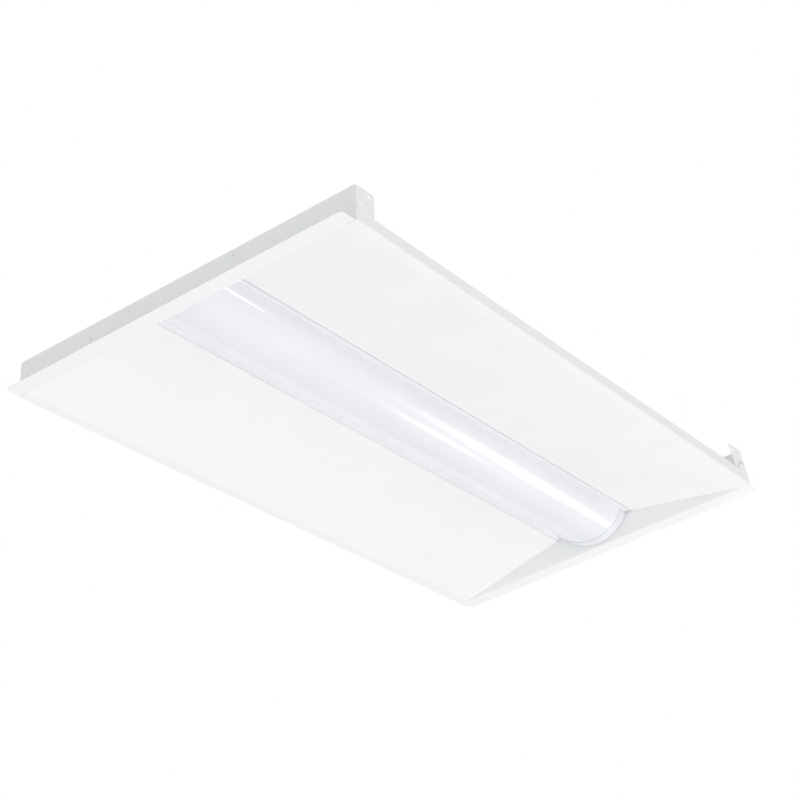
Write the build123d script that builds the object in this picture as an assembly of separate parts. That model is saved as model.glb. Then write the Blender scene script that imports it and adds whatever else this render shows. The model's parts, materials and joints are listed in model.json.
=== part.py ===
"""Recessed 2 x 4 ft lay-in troffer light, modelled piece by piece in millimetres.

Frame: the origin is the middle of the lit face, in the plane of the flange's underside,
which is what rests on the ceiling grid.  +Z points up into the ceiling void, +X runs along
the fixture's length, and -Y is the front long side.
"""

import os
from math import atan, cos, sin, sqrt

from build123d import *

# ---------------------------------------------------------------- driving dimensions (mm)

# whole fixture
LENGTH = 1213.0
WIDTH = 603.0
SHEET = 0.8                    # painted steel sheet
BEND_RADIUS = 1.0              # room-side radius of every press-brake bend
LAP_GAP = 0.1                  # between sheets that are fastened face to face
JOINT_GAP = 0.4                # between the ends of the long sheets and the end plates

# end plates: a flat flange, then a wall that leans inward so that the fixture tilts in
END_FLANGE = 31.0
END_HEIGHT = 62.0
END_LEAN = 11.0
FLANGE_INSET = 2.5             # the flange stops this far short of each long edge
FLANGE_CORNER = 8.0
WALL_CORNER = 2.5

# side panels: low side wall, flat flange, sloped reflector and a lip beside the lens
SIDE_WALL = 20.0
SIDE_FLANGE = 15.0
APERTURE = 154.0               # between the two lips
RECESS = 38.0                  # height of the reflector's inner edge above the face
LIP = 12.0
CORNER_TAB_LENGTH = 17.0
CORNER_TAB_RUNOUT = 7.0        # run of the slanted step beside the tab
CORNER_TAB_CURVE = 3.0

# rivet tabs, folded up from the reflector's ends
RIVET_TAB_WIDTH = 24.0
INNER_TAB_GAP = 4.0            # from the lip to the inner tab
OUTER_TAB_Y = 165.0
OUTER_RIVET_Z = 36.0
INNER_RIVET_DROP = 11.0        # from the end plate's top edge to the inner rivets
RIVET_TAB_MARGIN = 6.0         # from a rivet's middle to the tab's top edge

# grid clips: ears of the end plates, folded out over the ceiling tee
CLIP_LENGTH = 41.5
CLIP_ARM = 24.5                # depth of the arm below the end plate's top edge
CLIP_HOOK_BOTTOM = 22.5        # height of the hook's lower edge above the face
CLIP_SLOT_GAP = 3.0            # gap between the clip and the side panel's corner tab
CLIP_BEND_GAP = 0.3            # from the end plate to the clip's scored bend
CLIP_CORNER = 2.5
HANGER_SLOT_LENGTH = 12.0
HANGER_SLOT_WIDTH = 5.0
HANGER_SLOT_INSET = 11.0       # from the clip's free edge to the slot's middle
HANGER_SLOT_DROP = 7.0         # from the end plate's top edge to the slot's middle

# lens: frosted dome with flat ledges and two spring legs, closed by a cap at each end
LENS_WALL = 2.0
LENS_SIDE_GAP = 1.5            # between the lens ledge and the panel's lip
LENS_LEDGE = 7.0
LENS_STEP = 1.2                # crease between ledge and dome
LENS_DOME = 31.0               # depth of the dome below the crease
LENS_RAISE = 1.0               # ledge underside above the reflector's inner edge
LENS_END_GAP = 1.2             # from the end cap to the end plate
LENS_LEG = 7.0
LENS_LEG_WALL = 1.5
LENS_LEG_INSET = 1.5           # from the ledge's edge to the leg
CAP_RIM = 14.0                 # band of the end cap that wraps the dome
CAP_WALL = 1.0
CAP_FIT = 0.1

# back channel and light-source tray
CHANNEL_TOP_DROP = 1.0         # web's top face below the end plate's top edge
CHANNEL_SKIRT_GAP = 2.5        # from the reflector's top face to the channel's lower edge
TRAY_END_GAP = 18.0            # from the end plate, at the web, to the tray's end
TRAY_SPRING_GAP = 2.5          # from the tray's foot to the lens springs' feet
TRAY_DROP = 7.0                # from the channel's web down to the tray's floor
TRAY_FOOT = 9.5
TRAY_SCREW_INSET = 16.0        # from the tray's end to its end screws

# boards, chips and connectors
BOARD_INSET = 12.0             # from the tray's end to a board's outer end
BOARD_WIDTH = 20.0
BOARD_THICKNESS = 1.2
BOARD_ROW_SPACING = 62.0
BOARD_END_GAP = 8.0            # between the two boards of a row
CHIP_LENGTH = 3.0
CHIP_WIDTH = 2.8
CHIP_HEIGHT = 0.7
CHIP_INSET = 44.3              # from a board's end to its first chip's middle
CHIPS_PER_BOARD = 18
BOARD_CONNECTOR = (9.0, 6.0, 3.5)
BOARD_CONNECTOR_INSET = 12.0   # from the board's outer end to the connector's middle

# leaf springs that grip the lens legs
SPRING_LENGTH = 24.0
SPRING_WALL = 0.5
SPRING_FOOT = 7.0
SPRING_PITCH = 420.0
SPRING_REACH = 6.0             # how far a leaf reaches down beside the leg
SPRING_GAP = 0.3
SPRING_BULGE = 1.2             # how far the bulge stands out of the leaf

# driver box on the channel, with a swinging access plate
BOX_END_GAP = 60.0             # from the left end plate, at the web, to the box
BOX_WIDTH = 100.0
BOX_HEIGHT = 25.0
BOX_CORNER = 3.0
BOX_FOOT_LENGTH = 20.0
BOX_FOOT_INSET = 25.0          # from the box's end to the foot's middle
BOX_SCREW_TO_TRAY = 1.5        # from the tray's foot to the box screws' shanks
BOX_SCREW_INSET = 6.0          # from the foot's outer edge to its screw
ACCESS_LENGTH = 140.0
ACCESS_CORNER = 8.0
ACCESS_LAP = 10.0              # how far the plate covers the box round the opening
ACCESS_EDGE = 4.0              # from the plate's long edges to the box's sides
ACCESS_PULL_WIDTH = 24.0
ACCESS_PULL_HEIGHT = 7.0
KNOCKOUT_RADIUS = 11.1         # for a half-inch conduit connector
KNOCKOUT_INSET = 24.0          # from the box's end to the knockouts' middles
KNOCKOUT_TO_ACCESS = 36.0      # from there to the access opening
KNOCKOUT_SPACING = 60.0
KNOCKOUT_SHEAR = 0.15          # gap sheared round the closed knockout

# driver and wiring
DRIVER_LENGTH = 180.0
DRIVER_WIDTH = 32.0
DRIVER_HEIGHT = 21.0
DRIVER_EDGE = 2.5
DRIVER_FOOT = 10.0
DRIVER_FOOT_THICKNESS = 1.5
ACCESS_TO_DRIVER = 5.0         # from the access opening to the driver's case
LEAD_RADIUS = 1.2
LEAD_PITCH = 5.0
LEAD_HEIGHT = 5.0              # above the channel's web
LEAD_BEND = 6.0
WIRE_CONNECTOR = (22.0, 12.0, 9.0)
WIRE_CONNECTOR_PITCH = 15.0
WIRE_CONNECTOR_EDGE = 1.5
SUPPLY_LEAD_RUN = 25.0         # from the push-in connectors to the driver
OUTPUT_LEAD_RUN = 30.0         # from the driver to the grommet's middle
GROMMET_INSET = 25.0           # from there to the box's end
GROMMET_OUTER = 8.0
GROMMET_NECK = 6.0
GROMMET_LIP = 1.6

# fasteners
RIVET_RADIUS = 1.6
RIVET_HEAD_RADIUS = 2.8
RIVET_HEAD = 1.1
SCREW_RADIUS = 2.0
SCREW_HEAD_RADIUS = 3.8
SCREW_HEAD = 2.2
SCREW_TAIL = 3.0
HOLE_FIT = 0.05                # round every rivet and screw shank
LIP_RIVET_PITCH = 190.0
LIP_RIVETS = 6
PIVOT_RADIUS = 2.5
PIVOT_FIT = 0.08
ACCESS_SCREW_CLEARANCE = 0.5
ACCESS_SCREW_LIFT = 0.2        # the loosened screw's head above the plate
GROUND_SCREW_INSET = 43.0      # from the box's end to the earthing screw
GROUND_SCREW_TO_WALL = 10.0    # from the box's side to the earthing screw

# ---------------------------------------------------------------- derived places

HALF_LENGTH = LENGTH / 2
HALF_WIDTH = WIDTH / 2
LEAN = END_LEAN / END_HEIGHT                       # inward lean per mm of height
LIP_Y = APERTURE / 2
FOLD_Y = HALF_WIDTH - SIDE_FLANGE                  # where the reflector starts to rise
WEB_TOP = END_HEIGHT - CHANNEL_TOP_DROP
WEB_BOTTOM = WEB_TOP - SHEET
CHANNEL_Y = LIP_Y + 2 * SHEET + LAP_GAP
CHANNEL_BOTTOM = RECESS + SHEET + CHANNEL_SKIRT_GAP
LIP_RIVET_Z = (CHANNEL_BOTTOM + RECESS + LIP) / 2
LEDGE_BOTTOM = RECESS + LENS_RAISE
LEDGE_TOP = LEDGE_BOTTOM + LENS_WALL
LENS_EDGE_Y = LIP_Y - LENS_SIDE_GAP
DOME_EDGE_Y = LENS_EDGE_Y - LENS_LEDGE
DOME_TOP = LEDGE_BOTTOM - LENS_STEP
DOME_RADIUS = (DOME_EDGE_Y**2 + LENS_DOME**2) / (2 * LENS_DOME)
DOME_CENTRE_Z = DOME_TOP - LENS_DOME + DOME_RADIUS
LEG_OUTER_Y = LENS_EDGE_Y - LENS_LEG_INSET
LEG_INNER_Y = LEG_OUTER_Y - LENS_LEG_WALL
LEG_TOP = LEDGE_TOP + LENS_LEG
TRAY_BOTTOM = WEB_BOTTOM - TRAY_DROP
TRAY_FOOT_BOTTOM = WEB_BOTTOM - LAP_GAP - SHEET
SPRING_Y = LEG_INNER_Y - SPRING_GAP - SPRING_BULGE
TRAY_HALF = SPRING_Y - SPRING_FOOT - TRAY_SPRING_GAP - TRAY_FOOT
TRAY_SCREW_Y = TRAY_HALF + BEND_RADIUS + SCREW_HEAD_RADIUS + HOLE_FIT
BOARD_BOTTOM = TRAY_BOTTOM - LAP_GAP - BOARD_THICKNESS
BOX_TOP = WEB_TOP + BOX_HEIGHT
PLATE_BOTTOM = BOX_TOP + LAP_GAP
PLATE_TOP = PLATE_BOTTOM + SHEET
CLIP_ARM_BOTTOM = END_HEIGHT - CLIP_ARM
CORNER_TAB_TOP = CLIP_ARM_BOTTOM - CLIP_SLOT_GAP
INNER_TAB_Y = CHANNEL_Y + INNER_TAB_GAP + RIVET_TAB_WIDTH / 2
INNER_RIVET_Z = END_HEIGHT - INNER_RIVET_DROP
BEYOND = LENGTH                                    # past the part in every direction


def inner_x(z):
    """X of the right end plate's room-side face at height z."""
    return HALF_LENGTH - END_FLANGE - LEAN * z


def reflector_z(y):
    """Height of the rear reflector's underside at y."""
    return RECESS * (FOLD_Y - y) / (FOLD_Y - LIP_Y)


TRAY_LENGTH = 2 * (inner_x(WEB_TOP) - TRAY_END_GAP)
TRAY_SCREW_X = TRAY_LENGTH / 2 - TRAY_SCREW_INSET
BOARD_LENGTH = (TRAY_LENGTH - BOARD_END_GAP) / 2 - BOARD_INSET
CHIP_PITCH = (BOARD_LENGTH - 2 * CHIP_INSET) / (CHIPS_PER_BOARD - 1)

# along the driver box, from its left end to its right end
BOX_LOW_X = BOX_END_GAP - inner_x(WEB_TOP)
KNOCKOUT_X = BOX_LOW_X + KNOCKOUT_INSET
ACCESS_LOW_X = KNOCKOUT_X + KNOCKOUT_TO_ACCESS
ACCESS_HIGH_X = ACCESS_LOW_X + ACCESS_LENGTH
ACCESS_CENTRE_X = (ACCESS_LOW_X + ACCESS_HIGH_X) / 2
DRIVER_CENTRE_X = ACCESS_HIGH_X + ACCESS_TO_DRIVER + DRIVER_LENGTH / 2
WIRE_CONNECTOR_X = DRIVER_CENTRE_X - (DRIVER_LENGTH + WIRE_CONNECTOR[0]) / 2 - SUPPLY_LEAD_RUN
GROMMET_X = DRIVER_CENTRE_X + DRIVER_LENGTH / 2 + OUTPUT_LEAD_RUN
BOX_HIGH_X = GROMMET_X + GROMMET_INSET
BOX_LENGTH = BOX_HIGH_X - BOX_LOW_X
BOX_SCREW_Y = TRAY_HALF + TRAY_FOOT + BOX_SCREW_TO_TRAY + SCREW_RADIUS
ACCESS_WIDTH = BOX_WIDTH - 2 * (ACCESS_LAP + ACCESS_EDGE)
PIVOT_X = ACCESS_LOW_X - ACCESS_LAP / 2
PIVOT_Y = ACCESS_WIDTH / 2 + ACCESS_LAP / 2
ACCESS_SCREW_X = ACCESS_HIGH_X + ACCESS_LAP / 2
ACCESS_SCREW_Y = -PIVOT_Y
GROUND_SCREW_X = BOX_LOW_X + GROUND_SCREW_INSET
GROUND_SCREW_Y = GROUND_SCREW_TO_WALL - BOX_WIDTH / 2


# ---------------------------------------------------------------- shared shapes


def bent_sheet(points, plane, length, side, thickness=SHEET):
    """A sheet with rounded bends, drawn along one of its faces and extruded both ways."""
    with BuildSketch(plane) as profile:
        with BuildLine():
            FilletPolyline(*points, radius=BEND_RADIUS)
            offset(amount=thickness, side=side)
        make_face()
    return extrude(profile.sketch, amount=length / 2, both=True)


def leaning_slab(near, far):
    """What lies between two distances from the right end plate's room-side face."""
    low, high = -BOX_TOP, 2 * BOX_TOP
    outline = [
        (inner_x(low) - far, low),
        (inner_x(low) - near, low),
        (inner_x(high) - near, high),
        (inner_x(high) - far, high),
    ]
    face = Plane.XZ * make_face(Polyline(*outline, close=True))
    return extrude(face, amount=WIDTH, both=True)


def between_ends(gap):
    """The space between the two leaning end plates, less a gap at each."""
    half = leaning_slab(gap, BEYOND)
    return half & mirror(half, Plane.YZ)


def prism_yz(points, x_low, x_high):
    """A prism whose outline lies in the YZ plane."""
    face = Plane.YZ.offset(x_low) * make_face(Polyline(*points, close=True))
    return extrude(face, amount=x_high - x_low)


def block(x_span, y_span, z_span):
    """A box between two limits along each axis, in either order."""
    spans = [sorted(span) for span in (x_span, y_span, z_span)]
    middle = [(low + high) / 2 for low, high in spans]
    size = [high - low for low, high in spans]
    return Pos(*middle) * Box(*size)


def shank_hole(radius):
    """A cutter for a fastener's shank, along Z."""
    return Cylinder(radius + HOLE_FIT, 8 * SHEET)


def on_end_wall(y, z):
    """A plane on the right end plate's room-side face, with its normal pointing outward."""
    lean_angle = atan(LEAN)
    normal = (cos(lean_angle), 0, sin(lean_angle))
    return Plane(origin=(inner_x(z), y, z), x_dir=(0, 1, 0), z_dir=normal)


def as_compound(solids):
    """A group of separate solids for one node."""
    return Compound(children=[solid for shape in solids for solid in shape.solids()])


# ---------------------------------------------------------------- end plates and clips


def rivet_places():
    """(y, z) of the rivets through one end plate."""
    places = []
    for side in (-1, 1):
        places.append((side * INNER_TAB_Y, INNER_RIVET_Z))
        places.append((side * OUTER_TAB_Y, OUTER_RIVET_Z))
    return places


def end_plate():
    """Right end plate: a flange with rounded corners, bent up into a leaning wall."""
    points = [(HALF_LENGTH, 0), (inner_x(0), 0), (inner_x(END_HEIGHT), END_HEIGHT)]
    plate = bent_sheet(points, Plane.XZ, WIDTH, Side.RIGHT)
    plate &= block((0, BEYOND), (-WIDTH, WIDTH), (-SHEET, END_HEIGHT))
    bend_end = inner_x(0) + 2 * BEND_RADIUS
    for side in (-1, 1):
        inset = side * (HALF_WIDTH - FLANGE_INSET)
        plate -= block((bend_end, BEYOND), (inset, side * WIDTH), (-SHEET, 2 * SHEET))
    flange_corners = plate.edges().filter_by(Axis.Z).sort_by(Axis.X)[-2:]
    plate = fillet(flange_corners, FLANGE_CORNER)
    wall_corners = [
        edge
        for edge in plate.edges()
        if edge.length < 2 * SHEET
        and edge.center().Z > END_HEIGHT - SHEET
        and abs(edge.center().Y) > HALF_WIDTH - HOLE_FIT
    ]
    plate = fillet(wall_corners, WALL_CORNER)
    for y, z in rivet_places():
        plate -= on_end_wall(y, z) * shank_hole(RIVET_RADIUS)
    return plate


def grid_clip():
    """Right rear clip: a flat arm with a hook, a hanger slot and a scored bend."""
    tab_end = inner_x(CORNER_TAB_TOP) - CORNER_TAB_LENGTH
    bend_x = inner_x(0) + BEND_RADIUS
    points = [
        (bend_x, END_HEIGHT),
        (inner_x(END_HEIGHT) - CLIP_LENGTH, END_HEIGHT),
        (inner_x(CLIP_HOOK_BOTTOM) - CLIP_LENGTH, CLIP_HOOK_BOTTOM),
        (tab_end - CORNER_TAB_RUNOUT - CLIP_SLOT_GAP, CLIP_HOOK_BOTTOM),
        (tab_end - CLIP_SLOT_GAP, CLIP_ARM_BOTTOM),
        (bend_x, CLIP_ARM_BOTTOM),
    ]
    outline = make_face(FilletPolyline(*points, radius=CLIP_CORNER, close=True))
    slot_z = END_HEIGHT - HANGER_SLOT_DROP
    slot_x = inner_x(slot_z) - CLIP_LENGTH + HANGER_SLOT_INSET
    outline -= Pos(slot_x, slot_z) * SlotOverall(HANGER_SLOT_LENGTH, HANGER_SLOT_WIDTH)
    clip = extrude(Plane.XZ.offset(-HALF_WIDTH) * outline, amount=SHEET)
    return clip & between_ends(CLIP_BEND_GAP)


# ---------------------------------------------------------------- side panels


def rivet_tab(y, rivet_z):
    """A tab folded up from the rear reflector's right end, against the end plate."""
    near, far = y - RIVET_TAB_WIDTH / 2, y + RIVET_TAB_WIDTH / 2
    top = rivet_z + RIVET_TAB_MARGIN
    points = [
        (near, reflector_z(near) + SHEET / 2),
        (far, reflector_z(far) + SHEET / 2),
        (far, top),
        (near, top),
    ]
    tab = prism_yz(points, 0, HALF_LENGTH) & leaning_slab(LAP_GAP, LAP_GAP + SHEET)
    return tab - on_end_wall(y, rivet_z) * shank_hole(RIVET_RADIUS)


def corner_tab():
    """The side wall's raised corner below the clip, with a curved step down."""
    tab_end = inner_x(CORNER_TAB_TOP) - CORNER_TAB_LENGTH
    run_end = tab_end - CORNER_TAB_RUNOUT
    strip_end = run_end - 4 * CORNER_TAB_CURVE
    points = [
        (HALF_LENGTH, CORNER_TAB_TOP),
        (tab_end, CORNER_TAB_TOP),
        (run_end, SIDE_WALL),
        (strip_end, SIDE_WALL),
        (strip_end, SIDE_WALL / 4),
        (HALF_LENGTH, SIDE_WALL / 4),
    ]
    outline = make_face(FilletPolyline(*points, radius=CORNER_TAB_CURVE, close=True))
    return extrude(Plane.XZ.offset(-HALF_WIDTH) * outline, amount=SHEET)


def side_panel():
    """Rear side panel: side wall, flange, sloped reflector and lens lip, with its tabs."""
    points = [
        (HALF_WIDTH, SIDE_WALL),
        (HALF_WIDTH, 0),
        (FOLD_Y, 0),
        (LIP_Y, RECESS),
        (LIP_Y, RECESS + LIP),
    ]
    panel = bent_sheet(points, Plane.YZ, LENGTH, Side.RIGHT)
    tab = corner_tab()
    panel = (panel + tab + mirror(tab, Plane.YZ)) & between_ends(JOINT_GAP)
    for y, z in ((INNER_TAB_Y, INNER_RIVET_Z), (OUTER_TAB_Y, OUTER_RIVET_Z)):
        folded = rivet_tab(y, z)
        panel += folded
        panel += mirror(folded, Plane.YZ)
    for x in lip_rivet_xs():
        panel -= Pos(x, LIP_Y, LIP_RIVET_Z) * Rot(90, 0, 0) * shank_hole(RIVET_RADIUS)
    return panel


def lip_rivet_xs():
    """X of the rivets that join a lip to the back channel."""
    first = -LIP_RIVET_PITCH * (LIP_RIVETS - 1) / 2
    return [first + LIP_RIVET_PITCH * i for i in range(LIP_RIVETS)]


# ---------------------------------------------------------------- back channel and tray


def tray_screw_places():
    """(x, y) of the screws that hold the tray under the channel."""
    xs = (-TRAY_SCREW_X, 0, TRAY_SCREW_X)
    return [(x, side * TRAY_SCREW_Y) for x in xs for side in (-1, 1)]


def box_screw_places():
    """(x, y) of the screws through the driver box's feet."""
    xs = (BOX_LOW_X + BOX_FOOT_INSET, BOX_HIGH_X - BOX_FOOT_INSET)
    return [(x, side * BOX_SCREW_Y) for x in xs for side in (-1, 1)]


def driver_screw_places():
    """(x, y) of the screws through the driver's end feet."""
    reach = DRIVER_LENGTH / 2 + DRIVER_FOOT / 2
    return [(DRIVER_CENTRE_X - reach, 0), (DRIVER_CENTRE_X + reach, 0)]


def web_screw_places():
    """(x, y) of every screw that passes through the channel's web."""
    ground = [(GROUND_SCREW_X, GROUND_SCREW_Y)]
    return tray_screw_places() + box_screw_places() + driver_screw_places() + ground


def back_channel():
    """The spine: an inverted channel riveted to both lips, with its skirts outside them."""
    points = [
        (-CHANNEL_Y, CHANNEL_BOTTOM),
        (-CHANNEL_Y, WEB_TOP),
        (CHANNEL_Y, WEB_TOP),
        (CHANNEL_Y, CHANNEL_BOTTOM),
    ]
    channel = bent_sheet(points, Plane.YZ, LENGTH, Side.RIGHT) & between_ends(JOINT_GAP)
    for x, y in web_screw_places():
        channel -= Pos(x, y, WEB_TOP) * shank_hole(SCREW_RADIUS)
    channel -= Pos(GROMMET_X, 0, WEB_TOP) * shank_hole(GROMMET_NECK)
    for x in lip_rivet_xs():
        for side in (-1, 1):
            place = Pos(x, side * CHANNEL_Y, LIP_RIVET_Z) * Rot(90, 0, 0)
            channel -= place * shank_hole(RIVET_RADIUS)
    return channel


def led_tray():
    """Shallow tray that carries the boards, on two feet under the channel's web."""
    points = [
        (-TRAY_HALF - TRAY_FOOT, TRAY_FOOT_BOTTOM),
        (-TRAY_HALF, TRAY_FOOT_BOTTOM),
        (-TRAY_HALF, TRAY_BOTTOM),
        (TRAY_HALF, TRAY_BOTTOM),
        (TRAY_HALF, TRAY_FOOT_BOTTOM),
        (TRAY_HALF + TRAY_FOOT, TRAY_FOOT_BOTTOM),
    ]
    tray = bent_sheet(points, Plane.YZ, TRAY_LENGTH, Side.LEFT)
    for x, y in tray_screw_places():
        tray -= Pos(x, y, TRAY_FOOT_BOTTOM) * shank_hole(SCREW_RADIUS)
    return tray


def board_places():
    """(x, y) of the middles of the four boards."""
    x = (BOARD_LENGTH + BOARD_END_GAP) / 2
    y = BOARD_ROW_SPACING / 2
    return [(-x, -y), (x, -y), (-x, y), (x, y)]


def led_board(x, y):
    """One circuit board, face down under the tray."""
    middle_z = BOARD_BOTTOM + BOARD_THICKNESS / 2
    return Pos(x, y, middle_z) * Box(BOARD_LENGTH, BOARD_WIDTH, BOARD_THICKNESS)


def led_chips():
    """The light-emitting chips under all four boards."""
    chips = []
    first = -CHIP_PITCH * (CHIPS_PER_BOARD - 1) / 2
    middle_z = BOARD_BOTTOM - CHIP_HEIGHT / 2
    for x, y in board_places():
        for i in range(CHIPS_PER_BOARD):
            place = Pos(x + first + i * CHIP_PITCH, y, middle_z)
            chips.append(place * Box(CHIP_LENGTH, CHIP_WIDTH, CHIP_HEIGHT))
    return as_compound(chips)


def board_connectors():
    """A plug-in connector near the outer end of each board."""
    connectors = []
    for x, y in board_places():
        outward = 1 if x > 0 else -1
        end_x = x + outward * (BOARD_LENGTH / 2 - BOARD_CONNECTOR_INSET)
        middle_z = BOARD_BOTTOM - BOARD_CONNECTOR[2] / 2
        connectors.append(Pos(end_x, y, middle_z) * Box(*BOARD_CONNECTOR))
    return as_compound(connectors)


def lens_springs():
    """Leaf springs under the web, whose bulges bear on the lens legs."""
    top = WEB_BOTTOM - LAP_GAP
    points = [
        (SPRING_Y - SPRING_FOOT, top),
        (SPRING_Y, top),
        (SPRING_Y, LEG_TOP + SPRING_BULGE),
        (SPRING_Y + SPRING_BULGE, LEG_TOP - SPRING_REACH / 2),
        (SPRING_Y, LEG_TOP - SPRING_REACH),
    ]
    spring = bent_sheet(points, Plane.YZ, SPRING_LENGTH, Side.RIGHT, SPRING_WALL)
    springs = []
    for x in (-SPRING_PITCH, 0, SPRING_PITCH):
        springs.append(Pos(x, 0, 0) * spring)
        springs.append(Pos(x, 0, 0) * mirror(spring, Plane.XZ))
    return as_compound(springs)


# ---------------------------------------------------------------- lens


def band_in_section(y_low, y_high, z_low, z_high):
    """A rectangle of the lens's cross-section."""
    centre = ((y_low + y_high) / 2, (z_low + z_high) / 2)
    return Pos(*centre) * Rectangle(y_high - y_low, z_high - z_low)


def dome_ring(outer_radius, wall):
    """The part of a ring about the dome's axis that lies between the ledges."""
    ring = Circle(outer_radius) - Circle(outer_radius - wall)
    window = band_in_section(-DOME_EDGE_Y, DOME_EDGE_Y, -DOME_RADIUS, LEDGE_TOP)
    return Pos(0, DOME_CENTRE_Z) * ring & window


def lens():
    """Frosted lens: a dome between flat ledges, with a spring leg on each ledge."""
    section = dome_ring(DOME_RADIUS, LENS_WALL)
    for side in (-1, 1):
        ledge = sorted((side * (DOME_EDGE_Y - LENS_WALL), side * LENS_EDGE_Y))
        leg = sorted((side * LEG_INNER_Y, side * LEG_OUTER_Y))
        section += band_in_section(*ledge, LEDGE_BOTTOM, LEDGE_TOP)
        section += band_in_section(*leg, LEDGE_BOTTOM, LEG_TOP)
    bar = extrude(Plane.YZ * section, amount=HALF_LENGTH, both=True)
    return bar & between_ends(LENS_END_GAP + CAP_WALL + CAP_FIT)


def lens_cap():
    """Right end cap: a plate that closes the dome, with a band wrapped under it."""
    rim_radius = DOME_RADIUS + CAP_FIT + CAP_WALL
    rim = dome_ring(rim_radius, CAP_WALL)
    window = band_in_section(-LENS_EDGE_Y, LENS_EDGE_Y, -DOME_RADIUS, LEDGE_TOP)
    closure = Pos(0, DOME_CENTRE_Z) * Circle(rim_radius) & window
    band = extrude(Plane.YZ * rim, amount=HALF_LENGTH)
    plate = extrude(Plane.YZ * closure, amount=HALF_LENGTH)
    band &= leaning_slab(LENS_END_GAP, LENS_END_GAP + CAP_RIM)
    plate &= leaning_slab(LENS_END_GAP, LENS_END_GAP + CAP_WALL)
    return band + plate


# ---------------------------------------------------------------- driver box


def driver_box():
    """Open-bottomed box on the channel, with feet, knockouts and an access opening."""
    middle = Pos((BOX_LOW_X + BOX_HIGH_X) / 2, 0, (WEB_TOP + BOX_TOP) / 2)
    outer = middle * Box(BOX_LENGTH, BOX_WIDTH, BOX_HEIGHT)
    outer = fillet(outer.edges().filter_by(Axis.Z), BOX_CORNER)
    hollow = Box(BOX_LENGTH - 2 * SHEET, BOX_WIDTH - 2 * SHEET, BOX_HEIGHT)
    hollow = fillet(hollow.edges().filter_by(Axis.Z), BOX_CORNER - SHEET)
    box = outer - middle * Pos(0, 0, -SHEET) * hollow
    for x, y in box_screw_places():
        half = BOX_FOOT_LENGTH / 2
        side = 1 if y > 0 else -1
        inner_y = side * (BOX_WIDTH / 2 - SHEET)
        outer_y = y + side * BOX_SCREW_INSET
        across = sorted((inner_y, outer_y))
        box += block((x - half, x + half), across, (WEB_TOP, WEB_TOP + SHEET))
        box -= Pos(x, y, WEB_TOP) * shank_hole(SCREW_RADIUS)
    opening = Box(ACCESS_LENGTH, ACCESS_WIDTH, 4 * SHEET)
    opening = fillet(opening.edges().filter_by(Axis.Z), ACCESS_CORNER)
    box -= Pos(ACCESS_CENTRE_X, 0, BOX_TOP) * opening
    for side in (-1, 1):
        y = side * KNOCKOUT_SPACING / 2
        box -= Pos(KNOCKOUT_X, y, BOX_TOP) * Cylinder(KNOCKOUT_RADIUS, 4 * SHEET)
    box -= Pos(PIVOT_X, PIVOT_Y, BOX_TOP) * shank_hole(PIVOT_RADIUS)
    box -= Pos(ACCESS_SCREW_X, ACCESS_SCREW_Y, BOX_TOP) * shank_hole(SCREW_RADIUS)
    return box


def knockout_disc():
    """The closed knockout's disc, sheared free but for its gap."""
    disc = Cylinder(KNOCKOUT_RADIUS - KNOCKOUT_SHEAR, SHEET)
    return Pos(KNOCKOUT_X, KNOCKOUT_SPACING / 2, BOX_TOP - SHEET / 2) * disc


def access_plate():
    """Cover of the access opening: pivots at one corner and has a finger pull."""
    width = ACCESS_WIDTH + 2 * ACCESS_LAP
    plate = Box(ACCESS_LENGTH + 2 * ACCESS_LAP, width, SHEET)
    plate = fillet(plate.edges().filter_by(Axis.Z), ACCESS_LAP / 2)
    middle_z = (PLATE_BOTTOM + PLATE_TOP) / 2
    plate = Pos(ACCESS_CENTRE_X, 0, middle_z) * plate
    pull_y = -width / 2
    pull_x = (ACCESS_CENTRE_X - ACCESS_PULL_WIDTH / 2, ACCESS_CENTRE_X + ACCESS_PULL_WIDTH / 2)
    plate += block(pull_x, (pull_y, pull_y + SHEET), (PLATE_BOTTOM, PLATE_TOP + ACCESS_PULL_HEIGHT))
    plate -= Pos(PIVOT_X, PIVOT_Y, middle_z) * Cylinder(PIVOT_RADIUS + PIVOT_FIT, 4 * SHEET)
    return plate - access_notch(middle_z)


def access_notch(middle_z):
    """Notch that lets the plate swing out from under the loosened screw."""
    reach_x = ACCESS_SCREW_X - PIVOT_X
    reach_y = ACCESS_SCREW_Y - PIVOT_Y
    swing_radius = sqrt(reach_x**2 + reach_y**2)
    width = 2 * (SCREW_RADIUS + ACCESS_SCREW_CLEARANCE)
    length = 2 * ACCESS_LAP
    away = (reach_y / swing_radius, -reach_x / swing_radius)
    slot_plane = Plane(
        origin=(
            ACCESS_SCREW_X + away[0] * length / 2,
            ACCESS_SCREW_Y + away[1] * length / 2,
            middle_z,
        ),
        x_dir=(away[0], away[1], 0),
        z_dir=(0, 0, 1),
    )
    return extrude(slot_plane * SlotCenterToCenter(length, width), amount=2 * SHEET, both=True)


# ---------------------------------------------------------------- driver and wiring


def led_driver():
    """Slim driver: a rounded case on two end feet."""
    case = Box(DRIVER_LENGTH, DRIVER_WIDTH, DRIVER_HEIGHT)
    case = fillet(case.edges().filter_by(Axis.X), DRIVER_EDGE)
    case = Pos(DRIVER_CENTRE_X, 0, WEB_TOP + DRIVER_HEIGHT / 2) * case
    foot_length = DRIVER_LENGTH + 2 * DRIVER_FOOT
    foot = Box(foot_length, DRIVER_WIDTH - 2 * DRIVER_EDGE, DRIVER_FOOT_THICKNESS)
    foot = fillet(foot.edges().filter_by(Axis.Z), DRIVER_EDGE)
    case += Pos(DRIVER_CENTRE_X, 0, WEB_TOP + DRIVER_FOOT_THICKNESS / 2) * foot
    for x, y in driver_screw_places():
        case -= Pos(x, y, WEB_TOP) * shank_hole(SCREW_RADIUS)
    return case


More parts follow.
